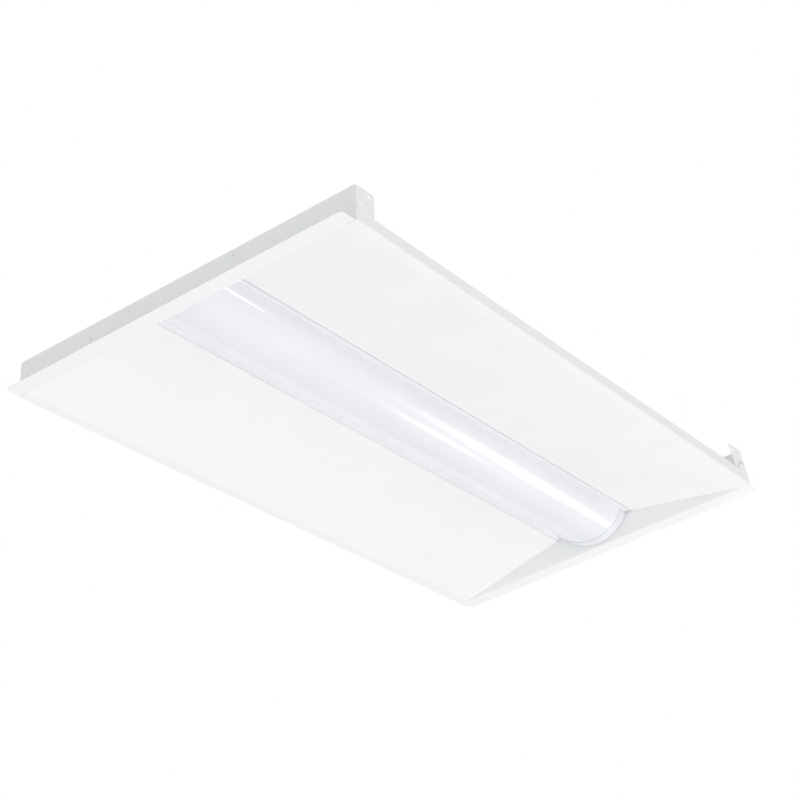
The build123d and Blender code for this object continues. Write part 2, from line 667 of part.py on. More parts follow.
def wire_connector_ys():
    """Y of the three push-in connectors."""
    return [WIRE_CONNECTOR_PITCH * i for i in (-1, 0, 1)]


def wire_connectors():
    """Push-in connectors that lie on the web beside the driver."""
    body = Box(*WIRE_CONNECTOR)
    body = fillet(body.edges().filter_by(Axis.X), WIRE_CONNECTOR_EDGE)
    middle_z = WEB_TOP + WIRE_CONNECTOR[2] / 2
    return as_compound([Pos(WIRE_CONNECTOR_X, y, middle_z) * body for y in wire_connector_ys()])


def supply_leads():
    """Three leads from the push-in connectors to the driver's input end."""
    start_x = WIRE_CONNECTOR_X + WIRE_CONNECTOR[0] / 2
    end_x = DRIVER_CENTRE_X - DRIVER_LENGTH / 2
    z = WEB_TOP + LEAD_HEIGHT
    leads = []
    for y in wire_connector_ys():
        end_y = y * LEAD_PITCH / WIRE_CONNECTOR_PITCH
        path = Spline((start_x, y, z), (end_x, end_y, z), tangents=[(1, 0, 0), (1, 0, 0)])
        ring = Plane(origin=path @ 0, z_dir=path % 0) * Circle(LEAD_RADIUS)
        leads.append(sweep(ring, path=path))
    return as_compound(leads)


def output_leads():
    """Two leads from the driver's output end, down through the grommet to the tray."""
    start_x = DRIVER_CENTRE_X + DRIVER_LENGTH / 2
    z = WEB_TOP + LEAD_HEIGHT + LEAD_BEND
    end_z = TRAY_BOTTOM + SHEET
    leads = []
    for side in (-1, 1):
        y = side * LEAD_PITCH / 2
        points = [(start_x, z), (GROMMET_X, z), (GROMMET_X, end_z)]
        path = Plane.XZ.offset(-y) * FilletPolyline(*points, radius=LEAD_BEND)
        ring = Plane(origin=path @ 0, z_dir=path % 0) * Circle(LEAD_RADIUS)
        leads.append(sweep(ring, path=path))
    return as_compound(leads)


def lead_grommet():
    """Rubber grommet in the web, waisted round its hole's edge, with a bore for each lead."""
    neck = Cylinder(GROMMET_NECK, SHEET + 2 * GROMMET_LIP)
    lip = Cylinder(GROMMET_OUTER, GROMMET_LIP)
    middle_z = (WEB_TOP + WEB_BOTTOM) / 2
    lip_offset = SHEET / 2 + GROMMET_LIP / 2
    ring = neck + Pos(0, 0, lip_offset) * lip + Pos(0, 0, -lip_offset) * lip
    for side in (-1, 1):
        bore = Cylinder(LEAD_RADIUS + HOLE_FIT, 2 * (SHEET + 2 * GROMMET_LIP))
        ring -= Pos(0, side * LEAD_PITCH / 2, 0) * bore
    return Pos(GROMMET_X, 0, middle_z) * ring


# ---------------------------------------------------------------- fasteners


def rivet(grip_low, grip_high):
    """A rivet along Z that grips from grip_low to grip_high, with a head at each end."""
    length = grip_high - grip_low
    shank = Pos(0, 0, (grip_low + grip_high) / 2) * Cylinder(RIVET_RADIUS, length)
    head = Cone(RIVET_HEAD_RADIUS, RIVET_RADIUS, RIVET_HEAD)
    top = Pos(0, 0, grip_high + RIVET_HEAD / 2) * head
    bottom = Pos(0, 0, grip_low - RIVET_HEAD / 2) * Rot(180, 0, 0) * head
    return shank + top + bottom


def screw(seat_z, tip_z):
    """A pan-head screw along Z: its head sits on seat_z and its point is at tip_z."""
    up = 1 if seat_z > tip_z else -1
    shank = Pos(0, 0, (seat_z + tip_z) / 2) * Cylinder(SCREW_RADIUS, abs(seat_z - tip_z))
    head = Cylinder(SCREW_HEAD_RADIUS, SCREW_HEAD)
    crown = head.edges().filter_by(GeomType.CIRCLE).sort_by(Axis.Z)[-1]
    head = chamfer(crown, SCREW_HEAD / 3)
    if up < 0:
        head = Rot(180, 0, 0) * head
    return shank + Pos(0, 0, seat_z + up * SCREW_HEAD / 2) * head


def end_rivets():
    """Rivets through the end plates and the reflector's tabs."""
    body = rivet(-LAP_GAP - SHEET, SHEET)
    right = [on_end_wall(y, z) * body for y, z in rivet_places()]
    return as_compound(right + [mirror(one, Plane.YZ) for one in right])


def lip_rivets():
    """Rivets through the lips and the channel's skirts."""
    body = Rot(-90, 0, 0) * rivet(LIP_Y, CHANNEL_Y)
    rear = [Pos(x, 0, LIP_RIVET_Z) * body for x in lip_rivet_xs()]
    return as_compound(rear + [mirror(one, Plane.XZ) for one in rear])


def tray_screws():
    """Screws driven up through the tray's feet into the web."""
    body = screw(TRAY_FOOT_BOTTOM, WEB_TOP + SCREW_TAIL)
    return as_compound([Pos(x, y, 0) * body for x, y in tray_screw_places()])


def box_screws():
    """Screws through the driver box's feet into the web."""
    body = screw(WEB_TOP + SHEET, WEB_BOTTOM - SCREW_TAIL)
    return as_compound([Pos(x, y, 0) * body for x, y in box_screw_places()])


def driver_screws():
    """Screws through the driver's feet into the web."""
    body = screw(WEB_TOP + DRIVER_FOOT_THICKNESS, WEB_BOTTOM - SCREW_TAIL)
    return as_compound([Pos(x, y, 0) * body for x, y in driver_screw_places()])


def ground_screw():
    """Earthing screw in the web, inside the wiring compartment."""
    return Pos(GROUND_SCREW_X, GROUND_SCREW_Y, 0) * screw(WEB_TOP, WEB_BOTTOM - SCREW_TAIL)


def access_screw():
    """Loosened screw that holds the access plate's free corner."""
    body = screw(PLATE_TOP + ACCESS_SCREW_LIFT, BOX_TOP - SHEET - SCREW_TAIL)
    return Pos(ACCESS_SCREW_X, ACCESS_SCREW_Y, 0) * body


def access_pivot():
    """Shoulder rivet that the access plate turns on."""
    top = PLATE_TOP + LAP_GAP
    bottom = BOX_TOP - SHEET - LAP_GAP
    shank = Pos(0, 0, (top + bottom) / 2) * Cylinder(PIVOT_RADIUS, top - bottom)
    head = Cylinder(PIVOT_RADIUS + RIVET_RADIUS, RIVET_HEAD)
    ends = Pos(0, 0, top + RIVET_HEAD / 2) * head + Pos(0, 0, bottom - RIVET_HEAD / 2) * head
    return Pos(PIVOT_X, PIVOT_Y, 0) * (shank + ends)


# ---------------------------------------------------------------- build


def all_pieces():
    """Every node's name and shape."""
    pieces = {}
    plate = end_plate()
    pieces["end_plate_right"] = plate
    pieces["end_plate_left"] = mirror(plate, Plane.YZ)
    clip = grid_clip()
    pieces["grid_clip_right_rear"] = clip
    pieces["grid_clip_right_front"] = mirror(clip, Plane.XZ)
    pieces["grid_clip_left_rear"] = mirror(clip, Plane.YZ)
    pieces["grid_clip_left_front"] = mirror(mirror(clip, Plane.YZ), Plane.XZ)
    panel = side_panel()
    pieces["side_panel_rear"] = panel
    pieces["side_panel_front"] = mirror(panel, Plane.XZ)
    pieces["back_channel"] = back_channel()
    pieces["led_tray"] = led_tray()
    for number, (x, y) in enumerate(board_places(), start=1):
        pieces[f"led_board_{number}"] = led_board(x, y)
    pieces["led_chips"] = led_chips()
    pieces["board_connectors"] = board_connectors()
    pieces["lens_springs"] = lens_springs()
    pieces["lens"] = lens()
    cap = lens_cap()
    pieces["lens_cap_right"] = cap
    pieces["lens_cap_left"] = mirror(cap, Plane.YZ)
    pieces["driver_box"] = driver_box()
    pieces["knockout_disc"] = knockout_disc()
    pieces["access_plate"] = access_plate()
    pieces["led_driver"] = led_driver()
    pieces["wire_connectors"] = wire_connectors()
    pieces["supply_leads"] = supply_leads()
    pieces["output_leads"] = output_leads()
    pieces["lead_grommet"] = lead_grommet()
    pieces["end_rivets"] = end_rivets()
    pieces["lip_rivets"] = lip_rivets()
    pieces["tray_screws"] = tray_screws()
    pieces["box_screws"] = box_screws()
    pieces["driver_screws"] = driver_screws()
    pieces["ground_screw"] = ground_screw()
    pieces["access_screw"] = access_screw()
    pieces["access_pivot"] = access_pivot()
    return pieces


os.makedirs("parts", exist_ok=True)
for node, shape in all_pieces().items():
    export_step(shape, f"parts/{node}.step")
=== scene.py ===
# %% [markdown]
# # A recessed ceiling light in Blender
# The object is a long sheet-steel luminaire that lies in a ceiling grid. From the room one sees a
# white frame, two sloping reflector panels and a frosted lens between them. The construction is
# already drawn to size, so this lesson only gives it its looks: it loads the parts as a fixed
# frame, dresses each one with a procedural finish, remodels the parts whose small forms matter
# (the lens, its caps, the fasteners, the light-emitting chips), and lights the scene.

import json
import math

import bmesh
import bpy
from mathutils import Matrix, Vector

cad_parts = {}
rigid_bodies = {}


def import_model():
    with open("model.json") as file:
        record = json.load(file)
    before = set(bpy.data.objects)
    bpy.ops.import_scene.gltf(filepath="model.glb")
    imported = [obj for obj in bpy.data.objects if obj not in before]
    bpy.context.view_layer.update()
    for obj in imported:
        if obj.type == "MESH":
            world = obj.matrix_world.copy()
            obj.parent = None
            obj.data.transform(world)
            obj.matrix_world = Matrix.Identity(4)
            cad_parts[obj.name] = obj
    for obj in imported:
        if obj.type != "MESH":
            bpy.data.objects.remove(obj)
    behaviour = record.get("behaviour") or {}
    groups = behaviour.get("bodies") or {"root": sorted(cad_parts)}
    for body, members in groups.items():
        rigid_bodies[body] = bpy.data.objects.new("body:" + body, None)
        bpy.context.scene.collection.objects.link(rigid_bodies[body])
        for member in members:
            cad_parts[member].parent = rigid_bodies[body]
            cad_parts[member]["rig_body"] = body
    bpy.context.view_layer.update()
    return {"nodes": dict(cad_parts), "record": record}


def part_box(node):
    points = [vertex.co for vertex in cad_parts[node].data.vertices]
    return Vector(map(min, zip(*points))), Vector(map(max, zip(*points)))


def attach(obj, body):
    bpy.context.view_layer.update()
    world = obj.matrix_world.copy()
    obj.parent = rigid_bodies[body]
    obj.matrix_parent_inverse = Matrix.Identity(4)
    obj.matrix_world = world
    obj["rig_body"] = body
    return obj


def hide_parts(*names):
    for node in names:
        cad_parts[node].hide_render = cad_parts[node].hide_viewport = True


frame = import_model()
nodes = frame["nodes"]
for plain_material in list(bpy.data.materials):
    bpy.data.materials.remove(plain_material)
MM = 0.001

# %% [markdown]
# ## Helpers for procedural finishes
# Every finish here is a Principled shader whose colour, gloss and bump are driven by textures in
# Object coordinates. All parts lie at the scene's origin in real metres, so a pattern that is
# worked out in millimetres has the same scale on every part and runs on from one to the next.
# Pictures of each surface would do as well, but they'd need every part unwrapped first. A flat
# colour and gloss are set too, for a program that can't follow the textures.

# %% Colours as they are read from a screen
def screen(red, green, blue):
    """A colour written 0-255 as on a screen, turned into the linear values Blender wants."""
    values = []
    for channel in (red, green, blue):
        c = channel / 255
        values.append(c / 12.92 if c <= 0.04045 else ((c + 0.055) / 1.055) ** 2.4)
    return (*values, 1.0)


print("screen white 240 is", round(screen(240, 240, 240)[0], 3), "in linear light")

# %% A finish to build on
SHADER = "Principled BSDF"


def finish(name, colour, roughness, metallic=0.0, coat=0.0, coat_roughness=0.1):
    """A new material, with the values that are the same all over."""
    material = bpy.data.materials.new(name)
    material.use_nodes = True
    sockets = material.node_tree.nodes[SHADER].inputs
    sockets["Base Color"].default_value = colour
    sockets["Roughness"].default_value = roughness
    sockets["Metallic"].default_value = metallic
    sockets["Coat Weight"].default_value = coat
    sockets["Coat Roughness"].default_value = coat_roughness
    return material


def feed(material, value, socket):
    """Feeds an output to a socket of the material's shader."""
    tree = material.node_tree
    tree.links.new(value, tree.nodes[SHADER].inputs[socket])


print("every finish starts from a", SHADER)

# %% Textures in millimetres
def mapped(material, per_mm, stretch=(1, 1, 1)):
    """Object coordinates scaled so that one texture unit is 1 / per_mm millimetres."""
    tree = material.node_tree
    where = tree.nodes.new("ShaderNodeTexCoord")
    mapping = tree.nodes.new("ShaderNodeMapping")
    mapping.inputs["Scale"].default_value = [per_mm / MM * s for s in stretch]
    tree.links.new(where.outputs["Object"], mapping.inputs["Vector"])
    return mapping.outputs["Vector"]


def noise(material, size_mm, detail=2.0, stretch=(1, 1, 1)):
    """Cloudy noise whose blots are about size_mm across."""
    tree = material.node_tree
    texture = tree.nodes.new("ShaderNodeTexNoise")
    texture.inputs["Scale"].default_value = 1.0
    texture.inputs["Detail"].default_value = detail
    tree.links.new(mapped(material, 1 / size_mm, stretch), texture.inputs["Vector"])
    return texture.outputs["Fac"]


def cells(material, size_mm):
    """Cell pattern with cells about size_mm across."""
    tree = material.node_tree
    texture = tree.nodes.new("ShaderNodeTexVoronoi")
    texture.inputs["Scale"].default_value = 1.0
    tree.links.new(mapped(material, 1 / size_mm), texture.inputs["Vector"])
    return texture


print("noise of 10 mm has about", round(1 / (10 * MM)), "blots to the metre")

# %% Driving the shader with a texture
NOISE_LOW, NOISE_HIGH = 0.3, 0.7    # nearly all of a noise texture lies between these


def vary_gloss(material, value, low, high):
    """Maps a texture's middle range onto a roughness of low..high."""
    tree = material.node_tree
    ramp = tree.nodes.new("ShaderNodeMapRange")
    ramp.inputs["From Min"].default_value = NOISE_LOW
    ramp.inputs["From Max"].default_value = NOISE_HIGH
    ramp.inputs["To Min"].default_value = low
    ramp.inputs["To Max"].default_value = high
    tree.links.new(value, ramp.inputs["Value"])
    feed(material, ramp.outputs["Result"], "Roughness")


def vary_colour(material, value, dark, light, start=NOISE_LOW, end=NOISE_HIGH):
    """Blends two colours by a texture."""
    tree = material.node_tree
    ramp = tree.nodes.new("ShaderNodeValToRGB")
    for element, place, colour in zip(ramp.color_ramp.elements, (start, end), (dark, light)):
        element.position = place
        element.color = colour
    tree.links.new(value, ramp.inputs["Fac"])
    feed(material, ramp.outputs["Color"], "Base Color")


def bump(material, value, height_mm, strength, under=None):
    """Raises the surface by height_mm where the texture is bright, over another bump if given."""
    tree = material.node_tree
    node = tree.nodes.new("ShaderNodeBump")
    node.inputs["Strength"].default_value = strength
    node.inputs["Distance"].default_value = height_mm * MM
    tree.links.new(value, node.inputs["Height"])
    if under is not None:
        tree.links.new(under.outputs["Normal"], node.inputs["Normal"])
    feed(material, node.outputs["Normal"], "Normal")
    return node


print("noise is read from", NOISE_LOW, "to", NOISE_HIGH)

# %% [markdown]
# ## White enamel on sheet steel
# The housing is powder-coated: a satin white film with a faint orange peel of a millimetre or so,
# over sheet that is flat but never perfect. One strong bump would make it look like plaster, so two
# weak ones do it, a fine one for the film and a broad, very low one for the sheet. A cloudy noise
# moves the gloss by a few hundredths and the colour by a shade.

# %% White enamel
enamel = finish("white_enamel", screen(243, 243, 242), roughness=0.38)
film = noise(enamel, size_mm=1.6)
sheet = noise(enamel, size_mm=160.0, detail=1.0)
handling = noise(enamel, size_mm=70.0, detail=3.0)
vary_colour(enamel, handling, screen(242, 242, 241), screen(244, 244, 243))
vary_gloss(enamel, handling, 0.36, 0.40)
broad = bump(enamel, sheet, height_mm=0.15, strength=0.5)
bump(enamel, film, height_mm=0.012, strength=0.4, under=broad)
print("white enamel ready")

# %% [markdown]
# ## Galvanised steel
# The wiring box on the back is left bare. Zinc-coated sheet shows a spangle: flat crystals some
# millimetres across, each with its own grey and gloss. Cell noise gives the crystals, because each
# of its cells has a random colour: the red part picks the grey, and the green part the gloss.

# %% Bare galvanised steel
galvanised = finish("bare_steel", screen(192, 195, 198), roughness=0.42, metallic=0.7)
spangle = cells(galvanised, size_mm=6.0)
crystal = galvanised.node_tree.nodes.new("ShaderNodeSeparateColor")
galvanised.node_tree.links.new(spangle.outputs["Color"], crystal.inputs["Color"])
vary_colour(
    galvanised, crystal.outputs["Red"], screen(186, 189, 192), screen(198, 201, 204),
    start=0.0, end=1.0,
)
vary_gloss(galvanised, crystal.outputs["Green"], 0.38, 0.48)
bump(galvanised, noise(galvanised, size_mm=2.5), height_mm=0.02, strength=0.3)
print("galvanised steel ready")

# %% [markdown]
# ## The frosted lens
# The lens is an extruded strip of milky acrylic: cool white, glossy on top of a light-scattering
# body. It could be made translucent, but it is drawn unlit, with little to see behind it, so a
# satin base with a clear coat gives the same look for less. Noise that is stretched along the strip
# gives the faint die lines and waviness that make its long highlights uneven.

# %% Frosted acrylic
acrylic = finish(
    "frosted_lens", screen(236, 237, 242), roughness=0.3, coat=0.5, coat_roughness=0.06
)
waves = noise(acrylic, size_mm=60.0, detail=1.0, stretch=(0.35, 1, 1))
lines = noise(acrylic, size_mm=5.0, detail=1.0, stretch=(0.02, 1, 1))
vary_colour(acrylic, waves, screen(235, 236, 241), screen(238, 239, 243))
vary_gloss(acrylic, lines, 0.28, 0.32)
bump(acrylic, waves, height_mm=0.25, strength=0.5)
print("frosted acrylic ready")

# %% [markdown]
# Along each crease of the lens runs a narrow rib of glossier acrylic. Its pale line is a painted
# highlight: the rib is coloured whiter than the lens to stand for a lamp's reflection on the
# crease's rounding, and a faint cloud varies that white at random. The caps at the ends are
# moulded, so theirs is a little darker and has a fine grain.

# %% Ribs and end caps
# The rib's whiter colour is a painted highlight, not the acrylic's own colour.
rib_painted_highlight = finish("lens_rib_painted_highlight", screen(248, 248, 250), roughness=0.25, coat=0.6)
vary_gloss(rib_painted_highlight, noise(rib_painted_highlight, size_mm=4.0), 0.2, 0.3)
vary_colour(
    rib_painted_highlight, noise(rib_painted_highlight, size_mm=200.0, detail=1.0),
    screen(246, 246, 249), screen(249, 249, 251),
)

end_white = finish("lens_cap", screen(233, 234, 240), roughness=0.32, coat=0.3)
vary_colour(
    end_white, noise(end_white, size_mm=20.0), screen(232, 233, 239), screen(235, 236, 241)
)
vary_gloss(end_white, noise(end_white, size_mm=8.0, detail=3.0), 0.28, 0.36)
bump(end_white, noise(end_white, size_mm=0.8), height_mm=0.01, strength=0.4)
print("rib and cap finishes ready")

# %% [markdown]
# ## Light-engine finishes
# The circuit boards carry a matt white solder mask that shows a faint grain of the glass cloth
# under it. The chips are filled with a milky yellow resin, and the springs are drawn strip with
# lines along it. They are seen only with the lens pulled down, so each has one or two textures.

# %% Boards, chips and springs
mask_white = finish("board_white", screen(236, 236, 230), roughness=0.5)
cloth = cells(mask_white, size_mm=1.2)
vary_colour(
    mask_white, noise(mask_white, size_mm=12.0), screen(232, 233, 227), screen(239, 239, 234)
)
bump(mask_white, cloth.outputs["Distance"], height_mm=0.02, strength=0.3)

resin = finish("chip_yellow", screen(238, 205, 92), roughness=0.35, coat=0.4)
vary_colour(
    resin, noise(resin, size_mm=0.9, detail=3.0), screen(230, 192, 70), screen(243, 216, 112)
)

spring = finish("spring_steel", screen(182, 184, 188), roughness=0.34, metallic=0.9)
vary_gloss(spring, noise(spring, size_mm=2.0, detail=3.0, stretch=(0.05, 1, 1)), 0.22, 0.38)
print("light-engine finishes ready")

# %% [markdown]
# ## Plastics and rubber
# Moulded plastic is never quite even: a fine grain breaks the gloss, and the colour moves a little.
# One helper makes all of them, since they differ only in colour, gloss and grain.

# %% Moulded plastics
GLOSS_SWING = 0.05


def moulded(name, dark, light, gloss, grain_mm):
    """A plastic between two near colours, with a fine grain."""
    material = finish(name, light, gloss)
    vary_colour(material, noise(material, size_mm=15.0, detail=3.0), dark, light)
    clouds = noise(material, size_mm=4.0)
    vary_gloss(material, clouds, gloss - GLOSS_SWING, gloss + GLOSS_SWING)
    bump(material, noise(material, grain_mm), height_mm=0.02, strength=0.4)
    return material


nylon = moulded("nylon", screen(226, 225, 218), screen(235, 234, 228), 0.45, 0.7)
case = moulded("driver_case", screen(222, 224, 224), screen(231, 232, 232), 0.4, 0.6)
socket_grey = moulded("connector_grey", screen(196, 198, 200), screen(208, 209, 211), 0.4, 0.5)
rubber = moulded("rubber", screen(30, 30, 31), screen(40, 40, 41), 0.7, 0.4)
print("plastics ready")

# %% [markdown]
# ## Coloured leads
# The leads share one finish, and one colour ramp with hard steps along Object Y tells them apart:
# the two outer supply leads and the middle one never cross, and the two output leads lie between.
# A ramp by place does the work of five materials.

# %% Lead insulation
LEAD_SPAN = 40.0                # millimetres of Y that the ramp covers, centred on the object
RAMP_MIDDLE = 0.5
LEAD_STEPS = [                  # (Y in millimetres at which a colour starts, colour)
    (-20.0, screen(38, 38, 40)), (-4.0, screen(52, 84, 150)), (-1.25, screen(228, 228, 225)),
    (1.25, screen(176, 44, 42)), (4.0, screen(46, 128, 70)),
]
insulation = finish("lead_insulation", screen(60, 60, 62), roughness=0.38)
tree = insulation.node_tree
place = tree.nodes.new("ShaderNodeSeparateXYZ")
tree.links.new(mapped(insulation, 1 / LEAD_SPAN), place.inputs["Vector"])
centred = tree.nodes.new("ShaderNodeMath")
centred.operation = "ADD"
centred.inputs[1].default_value = RAMP_MIDDLE
tree.links.new(place.outputs["Y"], centred.inputs[0])
steps = tree.nodes.new("ShaderNodeValToRGB")
steps.color_ramp.interpolation = "CONSTANT"
steps.color_ramp.elements.remove(steps.color_ramp.elements[1])
for start, colour in LEAD_STEPS[1:]:
    steps.color_ramp.elements.new(start / LEAD_SPAN + RAMP_MIDDLE).color = colour
steps.color_ramp.elements[0].color = LEAD_STEPS[0][1]
tree.links.new(centred.outputs["Value"], steps.inputs["Fac"])
feed(insulation, steps.outputs["Color"], "Base Color")
vary_gloss(insulation, noise(insulation, size_mm=3.0), 0.33, 0.43)
bump(insulation, noise(insulation, size_mm=0.5), height_mm=0.02, strength=0.4)
print("lead insulation ready, with", len(LEAD_STEPS), "colours")

# %% [markdown]
# ## Fastener metals
# The rivets are aluminium with a dull pale skin, the screws are zinc-plated, and the earthing screw
# is green, so that it isn't mistaken for the others. At this size a scratch wouldn't show, so a
# cloudy colour and gloss are enough, and again one helper makes all three.

# %% Rivets and screws
PLATING_SWING = 0.08


def turned(name, dark, light, metallic, gloss):
    """A plated or drawn metal, cloudy at the scale of a screw head."""
    material = finish(name, light, gloss, metallic=metallic)
    vary_colour(material, noise(material, size_mm=2.0, detail=3.0), dark, light)
    clouds = noise(material, size_mm=1.0)
    vary_gloss(material, clouds, gloss - PLATING_SWING, gloss + PLATING_SWING)
    return material


aluminium = turned("rivet_aluminium", screen(222, 223, 223), screen(232, 233, 233), 0.1, 0.45)
zinc = turned("zinc_screw", screen(170, 174, 178), screen(196, 200, 204), 1.0, 0.32)
green = turned("ground_green", screen(36, 120, 62), screen(52, 142, 78), 0.6, 0.4)
print("fastener metals ready")

# %% [markdown]
# ## Dressing the parts
# The record names a material slot for every part, so the finishes are handed out by that name.
# A part keeps its mesh: only the material in its slots changes.

# %% Hand the finishes out
finishes = {
    material.name: material
    for material in (
        enamel, galvanised, acrylic, end_white, mask_white, resin, spring, nylon, case,
        socket_grey, insulation, rubber, aluminium, zinc, green,
    )
}
slot_of = {part["node"]: part["material_slot"] for part in frame["record"]["subparts"]}
for name, node in nodes.items():
    node.data.materials.clear()
    node.data.materials.append(finishes[slot_of[name]])
print("dressed", len(nodes), "parts in", len(set(slot_of.values())), "finishes")

# %% [markdown]
# ## The lens, remodelled
# The part's own lens is made of flat facets, which would break a long highlight into bands. Here
# the dome is spun: one long edge turns about the dome's axis, which gives an even arc that can be
# shaded smooth. A slanting fold and a flat ledge are extruded from each of the arc's two edges, two
# leaning cuts trim the ends beside the end caps, and a solidify gives the wall. The legs that the
# springs grip, and the ribs along the creases, are straight, so plain bars do for them.

# %% Sizes of the dome and its ledges
lens_low, lens_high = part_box("lens")
cap_low, cap_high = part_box("lens_cap_right")
REAR, FRONT = 1, -1             # the sides of the lens, as signs of Y
LEAN = 11 / 62                  # the end plates lean in by 11 mm over their height of 62 mm
LENS_WALL = 2 * MM
LEDGE_WIDTH = 10 * MM
LEDGE_REACH = {REAR: 1.4 * MM, FRONT: 0.2 * MM}     # past the plain lens, towards the lip
LEDGE_TOP = cap_high.z
LEDGE_BOTTOM = LEDGE_TOP - LENS_WALL
FOLD = 1.2 * MM                 # width and height of the fold between dome and ledge
CREASE = LEDGE_BOTTOM - FOLD
DOME_EDGE = lens_high.y - LEDGE_WIDTH
DOME_DEPTH = CREASE - lens_low.z
DOME_RADIUS = (DOME_EDGE**2 + DOME_DEPTH**2) / (2 * DOME_DEPTH)
DOME_AXIS = lens_low.z + DOME_RADIUS
DOME_STEPS = 64
print("dome radius", round(DOME_RADIUS / MM, 2), "mm, axis at", round(DOME_AXIS / MM, 2), "mm")

# %% Sizes of the ribs and legs
RIB_WIDTH = 1.5 * MM
RIB_HEIGHT = 1.8 * MM
RIB_DROP = 0.6 * MM             # how far a rib hangs below the crease
RIB_MIDDLE_Y = DOME_EDGE + FOLD / 2
RIB_MIDDLE_Z = CREASE - RIB_DROP + RIB_HEIGHT / 2
LEG_WALL = 1.5 * MM
LEG_INSET = 1.5 * MM            # from the plain lens's edge to the leg
LEG_ROOT = 0.5 * MM             # how far a leg is sunk into the ledge
LEG_HEIGHT = lens_high.z - LEDGE_TOP + LEG_ROOT
LEG_MIDDLE_Y = lens_high.y - LEG_INSET - LEG_WALL / 2
LEG_MIDDLE_Z = lens_high.z - LEG_HEIGHT / 2
print("legs", round(LEG_HEIGHT / MM, 2), "mm high, ribs", round(RIB_HEIGHT / MM, 2), "mm")

# %% Helpers for new pieces
SMOOTH_BELOW = math.radians(30)     # sharper edges than this stay sharp
TOUCHING = 1e-6                     # metres within which two points count as one
SECOND_MATERIAL = 1


def new_object(name, data):
    """An object at the origin, linked to the scene."""
    made = bpy.data.objects.new(name, data)
    bpy.context.scene.collection.objects.link(made)
    return made


def make_piece(name, bm, material, body):
    """Turns a bmesh into a smooth-shaded piece that rides on a body."""
    mesh = bpy.data.meshes.new(name)
    bm.to_mesh(mesh)
    bm.free()
    mesh.materials.append(material)
    mesh.polygons.foreach_set("use_smooth", [True] * len(mesh.polygons))
    mesh.set_sharp_from_angle(angle=SMOOTH_BELOW)
    piece = new_object(name, mesh)
    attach(piece, body)
    print(name, len(mesh.polygons), "faces")
    return piece


def pick(items, kind):
    """The items of one kind, such as edges, out of what an operator returns."""
    return [item for item in items if isinstance(item, kind)]


# %% Helpers for the lens and its caps
def trim_leaning(bm, x_at_floor, keep_inside=True):
    """Cuts along the right end plate's lean, where the plane meets z = 0 at x_at_floor."""
    bmesh.ops.bisect_plane(
        bm,
        geom=bm.verts[:] + bm.edges[:] + bm.faces[:],
        plane_co=(x_at_floor, 0, 0),
        plane_no=(1, 0, LEAN),
        clear_outer=keep_inside,
        clear_inner=not keep_inside,
    )


def spin_about_dome(bm, radius, x_from, x_to, half_angle):
    """Spins a lengthwise edge about the dome's axis, and returns its first and last edges."""
    edge_y = radius * math.sin(half_angle)
    edge_z = DOME_AXIS - radius * math.cos(half_angle)
    start = bm.verts.new((x_from, edge_y, edge_z))
    end = bm.verts.new((x_to, edge_y, edge_z))
    first = bm.edges.new((start, end))
    spun = bmesh.ops.spin(
        bm,
        geom=[first],
        cent=(0, 0, DOME_AXIS),
        axis=(1, 0, 0),
        angle=-2 * half_angle,
        steps=DOME_STEPS,
        use_merge=False,
    )
    return first, pick(spun["geom_last"], bmesh.types.BMEdge)[0]


def give_wall(bm, thickness, outward):
    """Turns the skin so that its largest face looks outward, and adds a wall on the inside."""
    bmesh.ops.recalc_face_normals(bm, faces=bm.faces)
    if max(bm.faces, key=lambda face: face.calc_area()).normal.dot(outward) < 0:
        bmesh.ops.reverse_faces(bm, faces=bm.faces)
    bmesh.ops.solidify(bm, geom=bm.faces[:], thickness=thickness)


print("the end plates lean", round(math.degrees(math.atan(LEAN)), 1), "degrees")

# %% Spin the dome and extrude its folds and ledges
lens_end = lens_high.x + LEAN * lens_low.z
dome_half_angle = math.asin(DOME_EDGE / DOME_RADIUS)
lens_skin = bmesh.new()
dome_edges = spin_about_dome(lens_skin, DOME_RADIUS, -lens_end, lens_end, dome_half_angle)
for edge, side in zip(dome_edges, (REAR, FRONT)):
    ledge = lens_high.y + LEDGE_REACH[side] - DOME_EDGE - FOLD
    for move in ((0, side * FOLD, FOLD), (0, side * ledge, 0)):
        grown = bmesh.ops.extrude_edge_only(lens_skin, edges=[edge])["geom"]
        verts = pick(grown, bmesh.types.BMVert)
        bmesh.ops.translate(lens_skin, verts=verts, vec=move)
        edge = [item for item in pick(grown, bmesh.types.BMEdge)
                if all(vert in verts for vert in item.verts)][0]
print("lens skin has", len(lens_skin.faces), "faces")

# %% Trim the lens and give it its wall
HALF_TURN = Matrix.Rotation(math.pi, 3, "Z")
for end in ("right", "left"):   # the second half-turn brings the skin back to where it was
    trim_leaning(lens_skin, lens_end)
    bmesh.ops.rotate(lens_skin, verts=lens_skin.verts, cent=(0, 0, 0), matrix=HALF_TURN)
give_wall(lens_skin, LENS_WALL, outward=Vector((0, 0, -1)))
print("with its wall it has", len(lens_skin.faces), "faces")

# %% Add the legs and ribs, and put the lens in place
BAR_LENGTH = 2 * (lens_end - LEAN * lens_high.z)


def add_bar(bm, width, height, y, z):
    """Adds a bar along the whole lens, width by height, with its middle at y and z."""
    bar = bmesh.ops.create_cube(bm, size=1)["verts"]
    bmesh.ops.scale(bm, verts=bar, vec=(BAR_LENGTH, width, height))
    bmesh.ops.translate(bm, verts=bar, vec=(0, y, z))
    return bar


for side in (FRONT, REAR):
    add_bar(lens_skin, LEG_WALL, LEG_HEIGHT, side * LEG_MIDDLE_Y, LEG_MIDDLE_Z)
    rib = add_bar(lens_skin, RIB_WIDTH, RIB_HEIGHT, side * RIB_MIDDLE_Y, RIB_MIDDLE_Z)
    for face in {face for vert in rib for face in vert.link_faces}:
        face.material_index = SECOND_MATERIAL
lens = make_piece("lens_dome", lens_skin, acrylic, "lens_unit")
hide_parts("lens")
# The second slot holds the rib's painted highlight.
lens.data.materials.append(rib_painted_highlight)

